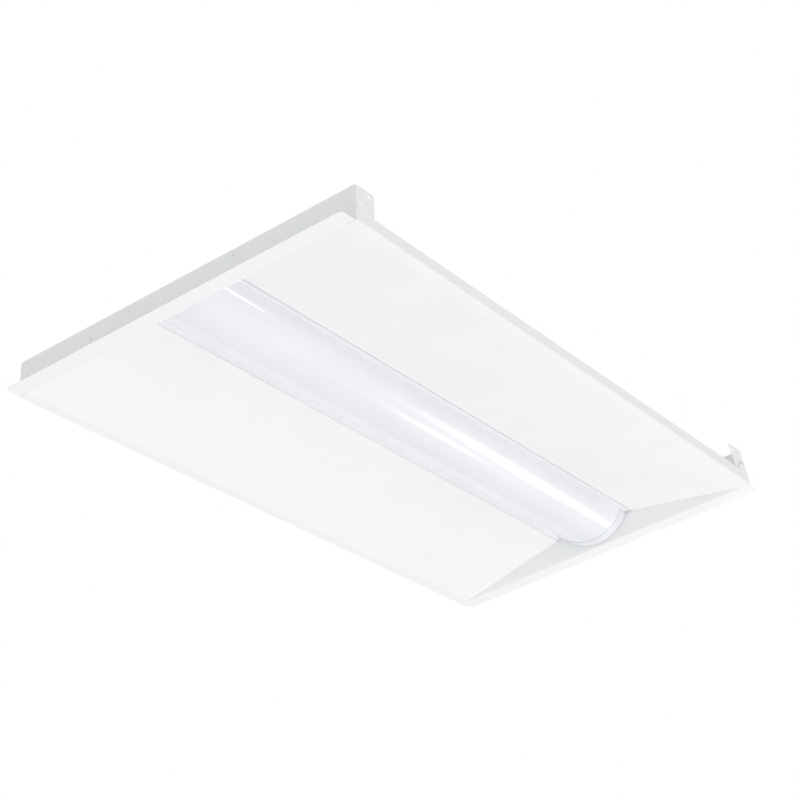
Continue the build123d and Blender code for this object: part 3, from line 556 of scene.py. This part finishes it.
# %% [markdown]
# ## The end caps
# Each end of the lens is closed by a cap of the same milky acrylic: a plate that leans with the end
# of the housing, and a band wrapped under the dome. The band is spun like the dome, one step wider,
# and trimmed by two leaning cuts. The plate is one face on the band's outer edge, and a solidify
# gives both their wall. The left cap is the right one, mirrored.

# %% End caps
CAP_RADIUS = DOME_RADIUS + lens_low.z - cap_low.z
CAP_BAND = 20 * MM
CAP_WALL = 1 * MM
cap_end = cap_high.x + LEAN * cap_low.z
cap_half_angle = math.asin(DOME_EDGE / CAP_RADIUS)


def make_cap(name, side):
    """An end cap at the right (side 1) or the left (side -1) end of the lens."""
    bm = bmesh.new()
    spin_about_dome(bm, CAP_RADIUS, cap_end - 2 * CAP_BAND, cap_end + CAP_BAND, cap_half_angle)
    trim_leaning(bm, cap_end)
    trim_leaning(bm, cap_end - CAP_BAND, keep_inside=False)
    corners = [v for v in bm.verts if abs(v.co.x + LEAN * v.co.z - cap_end) < TOUCHING]
    rim = [e for e in bm.edges if e.is_boundary and all(v in corners for v in e.verts)]
    ends = sorted(corners, key=lambda v: v.co.z)[-2:]
    top = [bm.verts.new((cap_end - LEAN * LEDGE_TOP, v.co.y, LEDGE_TOP)) for v in ends]
    rim += [bm.edges.new(pair) for pair in zip(ends, top)]
    rim.append(bm.edges.new(top))
    bmesh.ops.contextual_create(bm, geom=rim)
    give_wall(bm, CAP_WALL, outward=Vector((1, 0, 0)))
    if side < 0:
        bmesh.ops.scale(bm, verts=bm.verts, vec=(-1, 1, 1))
        bmesh.ops.reverse_faces(bm, faces=bm.faces)
    return make_piece(name, bm, end_white, "lens_unit")


for name, side in (("cap_right", 1), ("cap_left", -1)):
    cap = make_cap(name, side)
    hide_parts(f"lens_{name}")

# %% [markdown]
# ## Fasteners
# A fastener is small, but it's what makes sheet metal read as sheet metal. The parts show where
# each one sits, so the loose pieces of a part are measured and a finer fastener is put in place of
# each: a pop rivet with a domed flange and the pulled stem in its middle, and a hex washer-head
# screw with a sunk top. All but the hexagon is round about an axis, so a profile is spun for it.

# %% Measure the loose pieces of a part
def loose_boxes(node):
    """(lowest corner, highest corner) of every loose piece of a part."""
    bm = bmesh.new()
    bm.from_mesh(nodes[node].data)
    bmesh.ops.remove_doubles(bm, verts=bm.verts, dist=TOUCHING)
    waiting = set(bm.verts)
    boxes = []
    while waiting:
        island = [waiting.pop()]
        for vert in island:
            for edge in vert.link_edges:
                other = edge.other_vert(vert)
                if other in waiting:
                    waiting.remove(other)
                    island.append(other)
        low = Vector([min(v.co[axis] for v in island) for axis in range(3)])
        high = Vector([max(v.co[axis] for v in island) for axis in range(3)])
        boxes.append((low, high))
    bm.free()
    return boxes


for node in ("end_rivets", "lip_rivets", "tray_screws", "box_screws"):
    print(node, len(loose_boxes(node)), "pieces")

# %% A lathe for small parts
LATHE_STEPS = 24


def turned_profile(bm, points):
    """Spins a profile of (radius, height) pairs, in millimetres, about Z."""
    verts = [bm.verts.new((radius * MM, 0, height * MM)) for radius, height in points]
    edges = [bm.edges.new(pair) for pair in zip(verts, verts[1:])]
    bmesh.ops.spin(
        bm, geom=verts + edges, cent=(0, 0, 0), axis=(0, 0, 1), angle=2 * math.pi,
        steps=LATHE_STEPS, use_merge=True,
    )
    bmesh.ops.remove_doubles(bm, verts=bm.verts, dist=TOUCHING)
    bmesh.ops.recalc_face_normals(bm, faces=bm.faces)


print("a turned part has", LATHE_STEPS, "sides")

# %% A pop rivet
RIVET_HEAD = 1.1                # millimetres, like all sizes of fasteners
RIVET_TOP = [                   # the stem's end in its hollow, then the domed flange
    (0, 0.75), (0.55, 0.7), (0.62, 0.55), (0.85, 0.55), (0.95, 1.0), (1.6, 1.05), (2.3, 0.85),
    (2.8, 0.35), (2.8, 0.05), (1.6, 0),
]
RIVET_BULB = [(1.6, 0), (2.7, -0.1), (2.8, -0.6), (2.0, -1.05), (0, -1.1)]


def rivet_mesh(grip):
    """A pop rivet along Z whose flange sits on z = 0, with its bulb grip millimetres below."""
    bm = bmesh.new()
    bulb = [(radius, height - grip) for radius, height in RIVET_BULB]
    turned_profile(bm, RIVET_TOP + bulb)
    return bm


print("rivet profile of", len(RIVET_TOP + RIVET_BULB), "points")

# %% A hex washer-head screw
HEX_RADIUS, HEX_BOTTOM, HEX_HEIGHT = 3.0, 0.5, 1.7
SCREW_HEAD = HEX_BOTTOM + HEX_HEIGHT
HEX_RIM, HEX_SLOPE, HEX_SINK, HEX_ROUNDING = 0.5, 0.3, 0.35, 0.15
WASHER = [(0, 0.5), (3.4, 0.5), (3.8, 0.25), (3.8, 0)]
THREAD_PITCH = 0.9
CREST_RADIUS, CREST_END = 2.0, 0.4      # the crest's radius, and where it ends in each turn
ROOT_RADIUS, ROOT_END = 1.55, 0.75
POINT_RADIUS, POINT_LENGTH = 1.5, 0.5


def screw_mesh(shank):
    """A screw along Z whose washer sits on z = 0, with its point shank millimetres below."""
    bm = bmesh.new()
    head = bmesh.ops.create_cone(
        bm, cap_ends=True, segments=6, radius1=HEX_RADIUS * MM, radius2=HEX_RADIUS * MM,
        depth=HEX_HEIGHT * MM,
    )["verts"]
    bmesh.ops.translate(bm, verts=head, vec=(0, 0, (HEX_BOTTOM + HEX_HEIGHT / 2) * MM))
    top = max(bm.faces, key=lambda face: face.calc_center_median().z)
    bmesh.ops.inset_region(bm, faces=[top], thickness=HEX_RIM * MM)
    bmesh.ops.inset_region(bm, faces=[top], thickness=HEX_SLOPE * MM, depth=-HEX_SINK * MM)
    rim = [e for e in bm.edges if all(v.co.z > SCREW_HEAD * MM - TOUCHING for v in e.verts)]
    bmesh.ops.bevel(
        bm, geom=rim, offset=HEX_ROUNDING * MM, segments=2, profile=0.5, affect="EDGES",
        material=-1,
    )
    thread = [(CREST_RADIUS, 0)]
    for turn in range(int(shank / THREAD_PITCH)):
        thread += [
            (CREST_RADIUS, -THREAD_PITCH * turn - CREST_END),
            (ROOT_RADIUS, -THREAD_PITCH * turn - ROOT_END),
        ]
    thread += [(POINT_RADIUS, POINT_LENGTH - shank), (0, -shank)]
    turned_profile(bm, WASHER + thread)
    return bm


print("screw head", SCREW_HEAD, "mm high, thread pitch", THREAD_PITCH, "mm")

# %% Put finer pieces in place of the plain ones
def set_in_place(node, material, make, place):
    """Replaces each loose piece of a part by one that make builds, all as one new piece."""
    joined = bmesh.new()
    for low, high in loose_boxes(node):
        one = make(low, high)
        bmesh.ops.transform(one, matrix=place(low, high), verts=one.verts)
        scratch = bpy.data.meshes.new("scratch")
        one.to_mesh(scratch)
        one.free()
        joined.from_mesh(scratch)
        bpy.data.meshes.remove(scratch)
    piece = make_piece(f"fine_{node}", joined, material, nodes[node]["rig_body"])
    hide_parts(node)
    return piece


def screw_to_fit(low, high):
    """A screw as long as the plain one it stands for."""
    return screw_mesh((high.z - low.z) / MM - SCREW_HEAD)


def upright(low, high):
    """Head up: the washer's seat lies a head's height below the top of the box."""
    middle = (low + high) / 2
    return Matrix.Translation((middle.x, middle.y, high.z - SCREW_HEAD * MM))


def upside_down(low, high):
    """Head down, for screws driven from the room side."""
    middle = (low + high) / 2
    seat = Matrix.Translation((middle.x, middle.y, low.z + SCREW_HEAD * MM))
    return seat @ Matrix.Rotation(math.pi, 4, "X")


for node, material, place in (
    ("tray_screws", zinc, upside_down),
    ("box_screws", zinc, upright),
    ("driver_screws", zinc, upright),
    ("ground_screw", green, upright),
    ("access_screw", zinc, upright),
):
    set_in_place(node, material, screw_to_fit, place)

# %% [markdown]
# The rivets at the ends go through the end plate and the tab behind it. Known fault: the plate's
# own normal is (side, 0, LEAN), but the axis below has the lean's sign turned round, so each flange
# stands about 20 degrees off its plate. The rivets of the lip sit square on the channel's skirt.

# %% Rivets
END_GRIP = 1.9                  # millimetres of metal between the rivet's two heads
low, high = loose_boxes("lip_rivets")[0]
LIP_GRIP = (high.y - low.y) / MM - 2 * RIVET_HEAD


def facing(axis, low, high, grip):
    """Turns a rivet's flange towards axis, half its grip from the middle of the box."""
    turn = axis.to_track_quat("Z", "Y").to_matrix().to_4x4()
    return Matrix.Translation((low + high) / 2 + axis * (grip * MM / 2)) @ turn


def facing_end(low, high):
    """Flange on the outer side of an end plate, with the known fault in its lean."""
    side = 1 if low.x > 0 else -1
    return facing(Vector((side, 0, -LEAN)).normalized(), low, high, END_GRIP)


def facing_skirt(low, high):
    """Flange on the outer side of the back channel's skirt."""
    side = 1 if low.y > 0 else -1
    return facing(Vector((0, side, 0)), low, high, LIP_GRIP)


set_in_place("end_rivets", aluminium, lambda low, high: rivet_mesh(END_GRIP), facing_end)
set_in_place("lip_rivets", aluminium, lambda low, high: rivet_mesh(LIP_GRIP), facing_skirt)

# %% [markdown]
# ## Light-emitting chips
# Each chip is a white resin cup on the board, filled with a yellow layer that turns blue light
# white. A block with bevelled corners, inset on its face, gives the cup, and a second inset that is
# pushed in gives the fill. There are dozens of them, so each has only a few dozen faces.

# %% Chips
CUP_ROUNDING = 0.35 * MM
CUP_RIM = 0.4 * MM
FILL_DEPTH = 0.12 * MM


def chip_mesh(low, high):
    """A chip cup, face down, the size of the plain chip it stands for."""
    bm = bmesh.new()
    bmesh.ops.create_cube(bm, size=1)
    bmesh.ops.scale(bm, verts=bm.verts, vec=high - low)
    corners = [e for e in bm.edges if abs(e.verts[0].co.z - e.verts[1].co.z) > TOUCHING]
    bmesh.ops.bevel(
        bm, geom=corners, offset=CUP_ROUNDING, segments=2, profile=0.5, affect="EDGES",
        material=-1,
    )
    face = min(bm.faces, key=lambda face: face.calc_center_median().z)
    bmesh.ops.inset_region(bm, faces=[face], thickness=CUP_RIM)
    bmesh.ops.inset_region(bm, faces=[face], thickness=FILL_DEPTH, depth=-FILL_DEPTH)
    face.material_index = SECOND_MATERIAL
    return bm


def at_middle(low, high):
    """Moves a piece made about the origin to the middle of the box."""
    return Matrix.Translation((low + high) / 2)


print(len(loose_boxes("led_chips")), "chips to make")
chips = set_in_place("led_chips", nylon, chip_mesh, at_middle)
chips.data.materials.append(resin)

# %% [markdown]
# ## The camera
# The fitting hangs over the viewer's head, so the camera stands low at its front left and looks up
# along its length. A long focal length keeps the two long sides almost parallel, and the camera is
# rolled a little, as the picture is. Place, line of sight, roll and focal length come from a fit
# to the picture's corners and edges. The camera's axes are built from the line of sight: a first
# pair of axes that is level, turned by the roll.

# %% Camera
CAMERA_PLACE = (-2.52398, -1.47075, -1.53696)
SIGHT = Vector((0.75303, 0.44432, 0.48532)).normalized()
ROLL = math.radians(9.391)
FOCAL_LENGTH = 94.585           # millimetres, for a sensor of full-frame width
SENSOR_WIDTH = 36
UP = Vector((0, 0, 1))
level_right = SIGHT.cross(UP).normalized()
level_down = SIGHT.cross(level_right)
right = math.cos(ROLL) * level_right + math.sin(ROLL) * level_down
down = SIGHT.cross(right)
camera_data = bpy.data.cameras.new("camera")
camera_data.lens = FOCAL_LENGTH
camera_data.sensor_width = SENSOR_WIDTH
camera = new_object("camera", camera_data)
turn = Matrix((right, -down, -SIGHT)).transposed()
camera.matrix_world = Matrix.Translation(CAMERA_PLACE) @ turn.to_4x4()
bpy.context.scene.camera = camera
print("camera", round(Vector(CAMERA_PLACE).length, 2), "m from the middle of the lit face")

# %% [markdown]
# ## Floor and backdrop
# The picture has a plain white ground. A pale floor four metres under the fitting stands in for the
# studio: it bounces soft light up into the panels, and it takes the shadow in views from above.

# %% Floor
FLOOR_DEPTH = 4                 # metres below the lit face
FLOOR_REACH = 15                # metres from its middle to each side
mesh = bpy.data.meshes.new("floor")
bm = bmesh.new()
bmesh.ops.create_grid(bm, x_segments=1, y_segments=1, size=FLOOR_REACH)
bmesh.ops.translate(bm, verts=bm.verts, vec=(0, 0, -FLOOR_DEPTH))
bm.to_mesh(mesh)
bm.free()
floor = new_object("floor", mesh)
pale = finish("pale_floor", screen(240, 240, 240), roughness=0.7)
vary_gloss(pale, noise(pale, size_mm=300.0), 0.65, 0.75)
mesh.materials.append(pale)
print("floor", 2 * FLOOR_REACH, "m across,", FLOOR_DEPTH, "m below the fitting")

# %% [markdown]
# ## The world
# Two skies in one: to the camera, to reflections and through glass the surroundings are pure white,
# and to matt surfaces they are about half as bright, which leaves room for lamps to model the
# shapes. The Light Path node tells the kinds of ray apart.

# %% World
FILL_LEVEL = 0.55
WHITE_LEVEL = 1.0
world = bpy.data.worlds.new("world")
bpy.context.scene.world = world
world.use_nodes = True
tree = world.node_tree
background = tree.nodes["Background"]
background.inputs["Color"].default_value = (1, 1, 1, 1)
path = tree.nodes.new("ShaderNodeLightPath")
sees_white = path.outputs["Is Camera Ray"]
for ray in ("Is Glossy Ray", "Is Transmission Ray"):
    either = tree.nodes.new("ShaderNodeMath")
    either.operation = "MAXIMUM"
    tree.links.new(sees_white, either.inputs[0])
    tree.links.new(path.outputs[ray], either.inputs[1])
    sees_white = either.outputs[0]
level = tree.nodes.new("ShaderNodeMapRange")
level.inputs["To Min"].default_value = FILL_LEVEL
level.inputs["To Max"].default_value = WHITE_LEVEL
tree.links.new(sees_white, level.inputs["Value"])
tree.links.new(level.outputs["Result"], background.inputs["Strength"])
print("surroundings at", WHITE_LEVEL, "to the eye and", FILL_LEVEL, "as fill light")

# %% [markdown]
# ## Lamps
# Seven big round lamps, at the sides, below and above, give the plain even light of a catalogue
# picture. Their powers differ so that a lit face, an end wall and the lens each come out at the
# tone they have in the picture. The lamps at the left are a touch cool, as the end walls are, and
# the one in front is a touch warm.

# %% A lamp that isn't seen
NEUTRAL = (1, 1, 1)
COOL = (0.86, 0.95, 1.0)
WARM = (1.0, 0.98, 0.95)


def area_lamp(name, place, turn, size, power, colour):
    """An elliptic lamp at place, hidden from the camera, that shines along its own -Z."""
    data = bpy.data.lights.new(name, "AREA")
    data.shape = "ELLIPSE"
    data.size, data.size_y = size
    data.energy = power
    data.color = colour
    lamp = new_object(name, data)
    lamp.matrix_world = Matrix.Translation(place) @ turn
    lamp.visible_camera = False


print("cool lamps", COOL, "warm lamps", WARM)

# %% Soft lamps
MIDDLE = Vector((0, 0, 0))
SOFTBOXES = (                   # name, place and width in metres, power in watts, colour
    ("left_low", (-3.2, 0.4, -2.6), 2.5, 20, COOL),
    ("below", (0.3, 0.0, -3.6), 3.5, 51, NEUTRAL),
    ("left", (-3.8, -0.6, -0.2), 2.5, 17, COOL),
    ("front", (0.0, -3.8, -0.2), 2.5, 37, WARM),
    ("right", (3.8, 0.6, 0.4), 2.5, 20, NEUTRAL),
    ("rear", (0.0, 3.8, 0.4), 2.5, 20, NEUTRAL),
    ("above", (0.0, 0.0, 3.6), 3.5, 30, NEUTRAL),
)
for name, place, width, power, colour in SOFTBOXES:
    aim = (MIDDLE - Vector(place)).to_track_quat("-Z", "Y").to_matrix().to_4x4()
    area_lamp(name, place, aim, (width, width), power, colour)
print(len(SOFTBOXES), "soft lamps placed")

# %% [markdown]
# ## Highlights on the lens
# A cylinder mirrors a lamp as a streak along its length. Each streak in the picture tells where its
# lamp stood: the line of sight is mirrored about the dome's normal at the streak's two ends, and a
# strip lamp is hung between the two points that gives. One is narrow and crisp, one broad and warm,
# and one makes the short glints at the left end.

# %% Strip lamps for the long highlights
STRIPS = (                      # name, start, end, target, width, power, colour
    ("strip_sharp", (1.90, 0.21, -1.66), (2.11, -0.02, -1.62), (0, -0.03, 0.01), 0.26, 1.15,
     NEUTRAL),
    ("strip_broad", (2.1, -0.36, -1.60), (2.5, -0.66, -1.35), (0.23, -0.04, 0.02), 0.84, 3.4,
     WARM),
    ("strip_left", (1.2, -1.33, -1.40), (1.36, -1.19, -1.44), (-0.5, -0.055, 0.03), 0.14, 0.6,
     NEUTRAL),
)
for name, start, end, target, width, power, colour in STRIPS:
    start, end, target = Vector(start), Vector(end), Vector(target)
    along = (end - start).normalized()
    back = (start + end) / 2 - target
    back = (back - along * back.dot(along)).normalized()
    turn = Matrix((along, back.cross(along), back)).transposed().to_4x4()
    area_lamp(name, (start + end) / 2, turn, ((end - start).length, width), power, colour)
print(len(STRIPS), "strip lamps placed")

# %% [markdown]
# ## The view
# The picture is shown with the Standard view, so a white stays the white it was given.

# %% The view
scene = bpy.context.scene
scene.view_settings.view_transform = "Standard"
